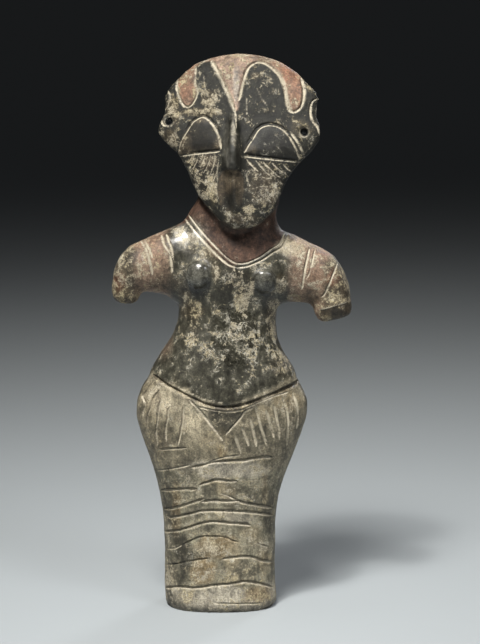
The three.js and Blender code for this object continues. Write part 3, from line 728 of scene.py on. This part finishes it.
def make_figure():
    """The solid as one finely meshed body of clay, ready for its lines to be cut again, sharper."""
    figure = copy_of_solid()
    use_modifier(figure, "REMESH", mode="VOXEL", voxel_size=GRAIN, use_smooth_shade=True)
    use_modifier(figure, "SMOOTH", factor=0.5, iterations=2)
    smooth_old_shapes(figure)
    drill_ear_holes(figure)
    tree, forms, _ = lay_cuts(figure)
    cut_finer(figure, tree, np.ones(len(forms)), NEAR_LINE)
    cut_finer(figure, tree, forms[:, 5], CLOSE_TO_LINE)
    use_modifier(figure, "SMOOTH", factor=0.5, iterations=2)
    return figure


def nose_rise(pixels, facing):
    across, down = pixels.T
    known, *columns = zip(*NOSE)
    middle, left, right = (np.interp(down, known, column) for column in columns)
    off = across - middle
    share = np.clip(1 - np.abs(off) / np.where(off < 0, left, right), 0, 1)
    return NOSE_RISE * share**1.1 * eased(down, 96, 145) * (1 - eased(down, 168, 171)) * facing


def raised_forms(pixels, facing):
    """Eye lenses, breasts, the nose and the sunk broken ends, in mm out of the surface."""
    rise = 0.0
    for eye in (LEFT_EYE, RIGHT_EYE):
        share = np.clip(signed_depth(pixels, eye) / LENS_SLOPE, 0, 1)
        rise = rise + LENS_RISE * (1 - (1 - share) ** 2) * facing
    for across, down, half, height in BREASTS:
        reach = np.hypot(pixels[:, 0] - across, pixels[:, 1] - down) / half
        rise = rise + height * np.clip(1 - reach**2, 0, 1) ** 1.5 * facing
    nose_end = eased(signed_depth(pixels, NOSE_END), -0.5, 4.0)
    stump_end = eased(signed_depth(pixels, STUMP_END), -0.5, 3.0)
    return rise + nose_rise(pixels, facing) - (0.4 * nose_end + 0.3 * stump_end) * facing


def lumps_and_pits(places):
    """How high hand-sized lumps stand and how deep pits go, in mm. Both are stronger low on the figure."""
    low = 1 - eased(places[:, 2], 8 * MM, 34 * MM)
    above_foot = eased(places[:, 2], 0.3 * MM, 2.0 * MM)
    lumps = 0.14 * grainy(places, 9 * MM, seed=1) + (0.06 + 0.05 * low) * grainy(places, 3 * MM, seed=2)
    lumps = lumps + 0.035 * grainy(places, 1.7 * MM, seed=7)
    pits = (0.05 + 0.16 * low) * eased(grainy(places, 2.4 * MM, seed=3), 0.25, 0.6)
    return lumps * above_foot, pits * above_foot


def bell(value, half, middle, breadth):
    """A soft band across a line. Its middle and breadth are in half widths of the line."""
    return np.exp(-(((value - middle * half) / (breadth * half)) ** 2))


def move_surface(figure, moved):
    """Pushes the surface out or in by so many mm."""
    raised = set_group(figure, "raised", np.clip(moved, 0, 1))
    sunk = set_group(figure, "sunk", np.clip(-moved, 0, 1))
    use_modifier(figure, "DISPLACE", mid_level=0.0, strength=1 * MM, vertex_group=raised)
    use_modifier(figure, "DISPLACE", mid_level=0.0, strength=-1 * MM, vertex_group=sunk)
    figure.vertex_groups.clear()


def carve(figure):
    """Cuts the lines, raises the forms and roughens the surface. Gives what the paint needs."""
    tree, forms, points = lay_cuts(figure)
    places = vertex_values(figure, "co")
    normals = vertex_values(figure, "normal")
    nearest = [tree.find(Vector(place)) for place in places]
    number = np.array([hit[1] for hit in nearest])
    reach = np.array([hit[2] for hit in nearest]) / MM
    half, depth, fill, rim, _, _ = forms[number].T
    off = (places - points[number]) @ SHADOW_SIDE / MM
    groove = np.exp(-1.1 * (reach / half) ** 2)
    pushed_up = rim * bell(reach, half, middle=1.9, breadth=0.7)
    pixels = to_picture(places)
    to_eye = CAMERA_PLACE - places
    to_eye /= np.linalg.norm(to_eye, axis=1)[:, None]
    facing = eased((normals * to_eye).sum(axis=1), 0.0, 0.3)
    lumps, pits = lumps_and_pits(places)
    moved = lumps + raised_forms(pixels, facing) + pushed_up - depth * groove - pits
    move_surface(figure, moved * (places[:, 2] > FOOT_HEIGHT))
    # Painted light on each line: painted shade darkens its upper left wall, more for deeper lines, and the
    # pale fill is set toward the lower right wall that the light reaches, so it is partly real fill and
    # partly painted light.
    line_band = bell(reach, half, middle=0.0, breadth=1.7)
    pale = bell(off, half, middle=-0.35, breadth=0.8) * line_band * fill
    painted_wall_shade = bell(off, half, middle=0.85, breadth=0.6) * line_band * np.clip(depth * 2.4, 0, 1)
    return pixels, facing, pale, painted_wall_shade


def from_hole(places, hole):
    """The way from a hole's line to each place, square to the line."""
    line = np.array([0.0, math.cos(HOLE_TILT), -math.sin(HOLE_TILT)])
    off = places - np.array([hole[0], 0.0, hole[1]]) * MM
    return off - (off @ line)[:, None] * line


def open_ear_holes(figure):
    """Clears the two holes through the edge of the mask after the meshing has narrowed them."""
    places = vertex_values(figure, "co")
    for hole in HOLES:
        off = from_hole(places, hole)
        far = np.linalg.norm(off, axis=1)
        tight = (far < HOLE_RADIUS) & (far > 1e-7)
        places[tight] += off[tight] * (HOLE_RADIUS / far[tight] - 1)[:, None]
    figure.data.vertices.foreach_set("co", places.ravel())


def keep_in_box(figure):
    """Keeps the clay within the solid's box and its foot flat on the floor."""
    places = np.clip(vertex_values(figure, "co"), np.array(cad_low), np.array(cad_high))
    places[places[:, 2] < FOOT_HEIGHT, 2] = 0.0
    figure.data.vertices.foreach_set("co", places.ravel())
    figure.data.update()


def linear(tone):
    share = np.array(TONES[tone], float) / 255
    return np.where(share <= 0.04045, share / 12.92, ((share + 0.055) / 1.055) ** 2.4)


class Paint:
    """Colour, crust, gloss and flecks laid on the clay in patches."""

    def __init__(self, places, pixels, facing):
        self.places = places
        self.pixels = pixels
        self.facing = facing
        self.ragged = grainy(places, 2.2 * MM, seed=5)
        self.patchy = grainy(places, 6 * MM, seed=6)
        tone, crust, gloss, flecks = BARE_CLAY
        self.tone = np.tile(linear(tone), (len(places), 1))
        self.crust = np.full(len(places), crust)
        self.gloss = np.full(len(places), gloss)
        self.flecks = np.full(len(places), flecks)

    def lay(self, share, tone=None, crust=None, gloss=None, flecks=None):
        if tone:
            cover = SEEN_THROUGH_CRUST if crust is not None and crust >= THICK_CRUST else 1.0
            self.tone += cover * share[:, None] * (linear(tone) - self.tone)
        for layer, value in ((self.crust, crust), (self.gloss, gloss), (self.flecks, flecks)):
            if value is not None:
                layer += share * (value - layer)

    def zone(self, low, high, *finish):
        """Everything between two heights in mm, all round."""
        z = self.places[:, 2] / MM + 1.2 * self.patchy
        self.lay(eased(z, low - 1, low + 1) * (1 - eased(z, high - 1, high + 1)), *finish)

    def spots(self, rows):
        """Ragged oval patches on the front."""
        for across, down, wide, tall, strength, *finish in rows:
            x = (self.pixels[:, 0] - across) / wide
            y = (self.pixels[:, 1] - down) / tall
            reach = np.hypot(x, y) + 0.35 * self.patchy + 0.25 * self.ragged
            self.lay((1 - eased(reach, 0.55, 1.15)) * strength * self.facing, *finish)

    def shape(self, outline, *finish, strength=1.0):
        """The inside of an outline on the front."""
        inside = signed_depth(self.pixels, outline) + 0.6 * self.ragged
        self.lay(eased(inside, -0.8, 0.8) * strength * self.facing, *finish)


def paint_body(paint):
    """The body all round, in mm: arms, then stumps, beside the chest, and the neck above its neckline."""
    x, y, z = (paint.places / MM).T
    paint.zone(-5, 7, "ash", 0.45)
    paint.zone(42, 72, "hip", 0.34, 0.35, 0.25)
    paint.zone(60, 114, "torso", 0.26, 0.8, 0.4)
    beside = np.abs(x - 2.6)
    arm_levels = eased(z, 72, 80) * (1 - eased(z, 116, 118))
    paint.lay(eased(beside, 15.5, 19.5) * arm_levels, "arm", 0.42, 0.4, 0.35)
    paint.lay(eased(beside, 25.5, 28.5) * arm_levels, "stump", 0.5, 0.35)
    neckline = 100.5 + np.abs(x - 3.2) * 0.62 + 3.5 * eased(y, -4, 6)
    neck = eased(z, neckline, neckline + 1.2) * (1 - eased(np.abs(x - 3), 16, 19))
    paint.lay(neck, "neck", 0.08, 0.25, 0.05)
    paint.shape(NECK_SEEN, "neck", 0.08, 0.25, 0.05)


def paint_head(paint):
    z = paint.places[:, 2] / MM
    head = eased(z, 119, 121.5)
    paint.lay(head, "slip", 0.34, 0.15, 0.3)
    paint.shape(CHIN, "slip", 0.36, 0.2, 0.7)
    paint.lay(eased(z, 153, 157) * head, "salmon", 0.45, 0.35)
    paint.shape(LEFT_PANEL, "slip", 0.32, 0.1, 0.3)
    paint.shape(RIGHT_PANEL, "slip", 0.32, 0.12, 0.4)
    paint.shape(CROWN_WEDGE, "pink", 0.4, 0.4, 0.2)
    paint.shape(LEFT_LOBE, "salmon", 0.45, 0.3, 0.1)
    paint.shape(RIGHT_LOBE, "salmon", 0.4, 0.4, 0.2)
    paint.spots(MASK_SPOTS)
    paint.shape(LEFT_EYE, "stump", 0.45, 0.2, 0.2)
    paint.shape(RIGHT_EYE, "lens", 0.18, 0.4, 0.4)
    paint.spots(FACE_SPOTS)
    # The nose end gets painted reflected light in brown and painted shade in black.
    paint.shape(NOSE_END, "brown", 0.1, 0.2, 0.1)
    paint.spots(NOSE_END_SPOTS)


def paint_dress(paint):
    paint.spots(ARM_SPOTS)
    # Painted shade on the downward-facing broken end of the arm.
    paint.shape(STUMP_END, "brown", 0.37, strength=0.9)
    paint.spots(STUMP_END_SPOTS)
    paint.spots(TORSO_SPOTS)
    x, _, z = (paint.places / MM).T
    below_belly = 62.5 + 0.0016 * (x - 1.5) ** 2 + 0.33 * np.abs(x - 1.5)
    skirt = (1 - eased(z, below_belly - 1.5, below_belly)) * eased(z, 40, 50) * paint.facing
    paint.lay(skirt, "hip", 0.34, 0.35, 0.3)
    paint.shape(BELLY_ROLL, "stump", 0.5, 0.4, strength=0.75)
    paint.shape(TRIANGLE, "slip", 0.42, 0.4, strength=0.7)
    paint.spots(LEG_SPOTS)


def paint_hole_shade_foot_and_sides(paint):
    """Painted shade, black, inside the ear holes; the foot darker towards its lowest edge; and browner sides
    and back, where they turn from the camera.
    """
    z = paint.places[:, 2] / MM
    # Painted shade inside each ear hole, black.
    for hole in HOLES:
        far = np.linalg.norm(from_hole(paint.places, hole), axis=1)
        paint.lay(1 - eased(far / HOLE_RADIUS, 1.05, 1.3), "black", 0.0, 0.0, 0.0)
    paint.lay(0.6 * (1 - eased(z, 1.0, 3.4)), "umber", 0.3)
    paint.lay(0.35 * (1 - paint.facing) * (z < 100), "brown")


def store_paint(figure, paint, fill, painted_wall_shade):
    """Keeps the layers on the mesh, where the material reads them."""
    layer = figure.data.attributes.new("tone", "FLOAT_COLOR", "POINT")
    tones = np.column_stack([paint.tone, np.ones(len(paint.tone))])
    layer.data.foreach_set("color", np.asarray(tones, np.float32).ravel())
    layers = {"crust": paint.crust, "gloss": paint.gloss, "flecks": paint.flecks, "fill": fill, "painted_wall_shade": painted_wall_shade}
    for name, values in layers.items():
        layer = figure.data.attributes.new(name, "FLOAT", "POINT")
        layer.data.foreach_set("value", np.asarray(values, np.float32))


class ClayNodes:
    """The material's node tree, with each noise in it once."""

    def __init__(self, tree):
        self.tree = tree
        place = self.put("TexCoord").outputs["Object"]
        upright = self.put("Mapping", {"Vector": place, "Scale": STREAK_STRETCH}).outputs[0]
        self.noises = {}
        for name, (scale, detail, rough, twist) in NOISES.items():
            sockets = {"Scale": scale, "Detail": detail, "Roughness": rough, "Distortion": twist}
            sockets["Vector"] = upright if name == "streaks" else place
            self.noises[name] = self.put("TexNoise", sockets).outputs[0]

    def put(self, kind, sockets=(), **settings):
        """Adds a node, sets it up and feeds its inputs by number or name."""
        made = self.tree.nodes.new("ShaderNode" + kind)
        for name, value in settings.items():
            setattr(made, name, value)
        for name, value in dict(sockets).items():
            if isinstance(value, bpy.types.NodeSocket):
                self.tree.links.new(value, made.inputs[name])
            else:
                made.inputs[name].default_value = value
        return made

    def maths(self, operation, first, second=0.0):
        return self.put("Math", {0: first, 1: second}, operation=operation).outputs[0]

    def plus(self, first, second):
        return self.maths("ADD", first, second)

    def times(self, first, second):
        return self.maths("MULTIPLY", first, second)

    def ranged(self, value, low, high, start=0.0, end=1.0):
        sockets = {"Value": value, "From Min": low, "From Max": high, "To Min": start, "To Max": end}
        return self.put("MapRange", sockets, interpolation_type="SMOOTHSTEP").outputs[0]

    def mixed(self, share, first, second):
        return self.put("Mix", {0: share, 6: first, 7: second}, data_type="RGBA").outputs[2]

    def layer(self, name, what="Fac"):
        return self.put("Attribute", attribute_name=name).outputs[what]

    def veins(self, name, middle, width):
        """Thin lines where a noise passes its middle."""
        off = self.maths("ABSOLUTE", self.maths("SUBTRACT", self.noises[name], middle))
        return self.ranged(off, 0.0, width, 1.0, 0.0)


def shaded_tone(nodes):
    shade = 1.0
    for name, *span in SHADES:
        shade = nodes.times(shade, nodes.ranged(nodes.noises[name], *span))
    sockets = {0: nodes.layer("tone", "Color"), "Scale": shade}
    return nodes.put("VectorMath", sockets, operation="SCALE").outputs[0]


def crust_share(nodes):
    """Where the earth crust lies: in the flakes, and more of it where its layer is strong."""
    share = nodes.plus(nodes.times(nodes.noises["flakes"], 0.6), nodes.times(nodes.noises["clouds"], 0.4))
    share = nodes.plus(share, nodes.times(nodes.layer("crust"), 0.23))
    return nodes.ranged(share, 0.615, 0.645, 0.0, 0.9)


def crust_colour(nodes):
    bright = nodes.mixed(nodes.ranged(nodes.noises["broad"], 0.4, 0.6), CRUST_PALE, CRUST_YELLOW)
    return nodes.mixed(nodes.ranged(nodes.noises["grit"], 0.35, 0.65), CRUST_DARK, bright)


def with_threads(nodes, clay):
    """Fine pale threads of earth, where the flecks layer is strong."""
    where = nodes.plus(nodes.noises["clouds"], nodes.times(nodes.layer("flecks"), 0.2))
    threads = nodes.times(nodes.veins("threads", 0.5, 0.034), nodes.ranged(where, 0.60, 0.74))
    return nodes.mixed(nodes.times(threads, 0.85), clay, THREAD_COLOUR)


def with_cracks(nodes, clay):
    where = nodes.ranged(nodes.noises["clouds"], 0.45, 0.6)
    cracks = nodes.times(nodes.veins("cracks", 0.47, 0.017), where)
    return nodes.mixed(nodes.times(cracks, 0.75), clay, CRACK_COLOUR)


def with_lines(nodes, clay):
    """The pale fill of the drawn lines, partly painted light on their lit wall, and the painted shade on
    their upper left wall.
    """
    pale = nodes.times(nodes.layer("fill"), nodes.ranged(nodes.noises["flakes"], 0.38, 0.52, 0.25, 1.0))
    clay = nodes.mixed(nodes.ranged(pale, 0.05, 0.7), clay, FILL_COLOUR)
    return nodes.mixed(nodes.times(nodes.layer("painted_wall_shade"), 0.9), clay, WALL_SHADE_COLOUR)


def clay_roughness(nodes, crust):
    rough = nodes.maths("SUBTRACT", 0.70, nodes.times(nodes.layer("gloss"), 0.42))
    rough = nodes.plus(rough, nodes.times(crust, 0.28))
    return nodes.plus(rough, nodes.ranged(nodes.noises["clouds"], 0.3, 0.7, -0.06, 0.08))


def clay_bumps(nodes, crust):
    """Fine bumps, which are lower where the clay is glossy."""
    relief = nodes.plus(nodes.times(nodes.noises["flakes"], 0.9), nodes.times(crust, 0.45))
    relief = nodes.plus(relief, nodes.times(nodes.noises["grit"], 0.3))
    relief = nodes.times(relief, nodes.ranged(nodes.layer("gloss"), 0.3, 1.2, 1.0, 0.12))
    return nodes.put("Bump", {"Strength": 0.9, "Distance": 0.26 * MM, "Height": relief}).outputs[0]


def clay_material():
    material = bpy.data.materials.new("fired_clay")
    material.use_nodes = True
    material.node_tree.nodes.clear()
    nodes = ClayNodes(material.node_tree)
    crust = crust_share(nodes)
    clay = nodes.mixed(crust, shaded_tone(nodes), crust_colour(nodes))
    clay = with_threads(nodes, clay)
    clay = with_cracks(nodes, clay)
    clay = with_lines(nodes, clay)
    sockets = {"Base Color": clay, "IOR": 1.48, "Specular IOR Level": 0.46}
    sockets["Roughness"] = clay_roughness(nodes, crust)
    sockets["Normal"] = clay_bumps(nodes, crust)
    shader = nodes.put("BsdfPrincipled", sockets)
    nodes.put("OutputMaterial", {"Surface": shader.outputs[0]})
    return material


def plain_material(name, colour, roughness):
    material = bpy.data.materials.new(name)
    material.use_nodes = True
    shader = material.node_tree.nodes["Principled BSDF"]
    shader.inputs["Base Color"].default_value = colour
    shader.inputs["Roughness"].default_value = roughness
    return material


def lamp(name, place, aim, size, watts, spread, colour):
    light = bpy.data.lights.new(name, "AREA")
    light.shape = "DISK"
    light.size = size
    light.energy = watts
    light.color = colour
    light.spread = math.radians(spread)
    thing = bpy.data.objects.new(name, light)
    thing.location = place
    thing.rotation_euler = (Vector(aim) - Vector(place)).to_track_quat("-Z", "Y").to_euler()
    bpy.context.scene.collection.objects.link(thing)


def make_camera():
    data = bpy.data.cameras.new("camera")
    data.sensor_width = SENSOR_MM
    data.lens = FOCAL_PIXELS * SENSOR_MM / PICTURE_HEIGHT
    data.clip_start = 0.05
    data.clip_end = 20
    camera = bpy.data.objects.new("camera", data)
    camera.location = CAMERA_PLACE
    camera.rotation_euler = (math.pi / 2 + CAMERA_PITCH, 0, 0)
    bpy.context.scene.collection.objects.link(camera)
    bpy.context.scene.camera = camera


def make_studio():
    bpy.ops.mesh.primitive_plane_add(size=6, location=(0, 0, 0))
    floor = bpy.context.active_object
    floor.name = "floor"
    floor.data.materials.append(plain_material("pale_floor", FLOOR_COLOUR, roughness=0.9))
    for name, settings in LAMPS.items():
        lamp(name, *settings)
    world = bpy.data.worlds.new("studio")
    world.use_nodes = True
    background = world.node_tree.nodes["Background"]
    background.inputs["Color"].default_value = ROOM_COLOUR
    background.inputs["Strength"].default_value = 0.05
    bpy.context.scene.world = world
    bpy.context.scene.view_settings.view_transform = "Standard"


make_camera()
figure = make_figure()
pixels, facing, fill, painted_wall_shade = carve(figure)
open_ear_holes(figure)
keep_in_box(figure)
paint = Paint(vertex_values(figure, "co"), pixels, facing)
paint_body(paint)
paint_head(paint)
paint_dress(paint)
paint_hole_shade_foot_and_sides(paint)
store_paint(figure, paint, fill, painted_wall_shade)
figure.data.materials.append(clay_material())
only(figure)
bpy.ops.object.shade_smooth()
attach(figure, "root")
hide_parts("idol")
make_studio()
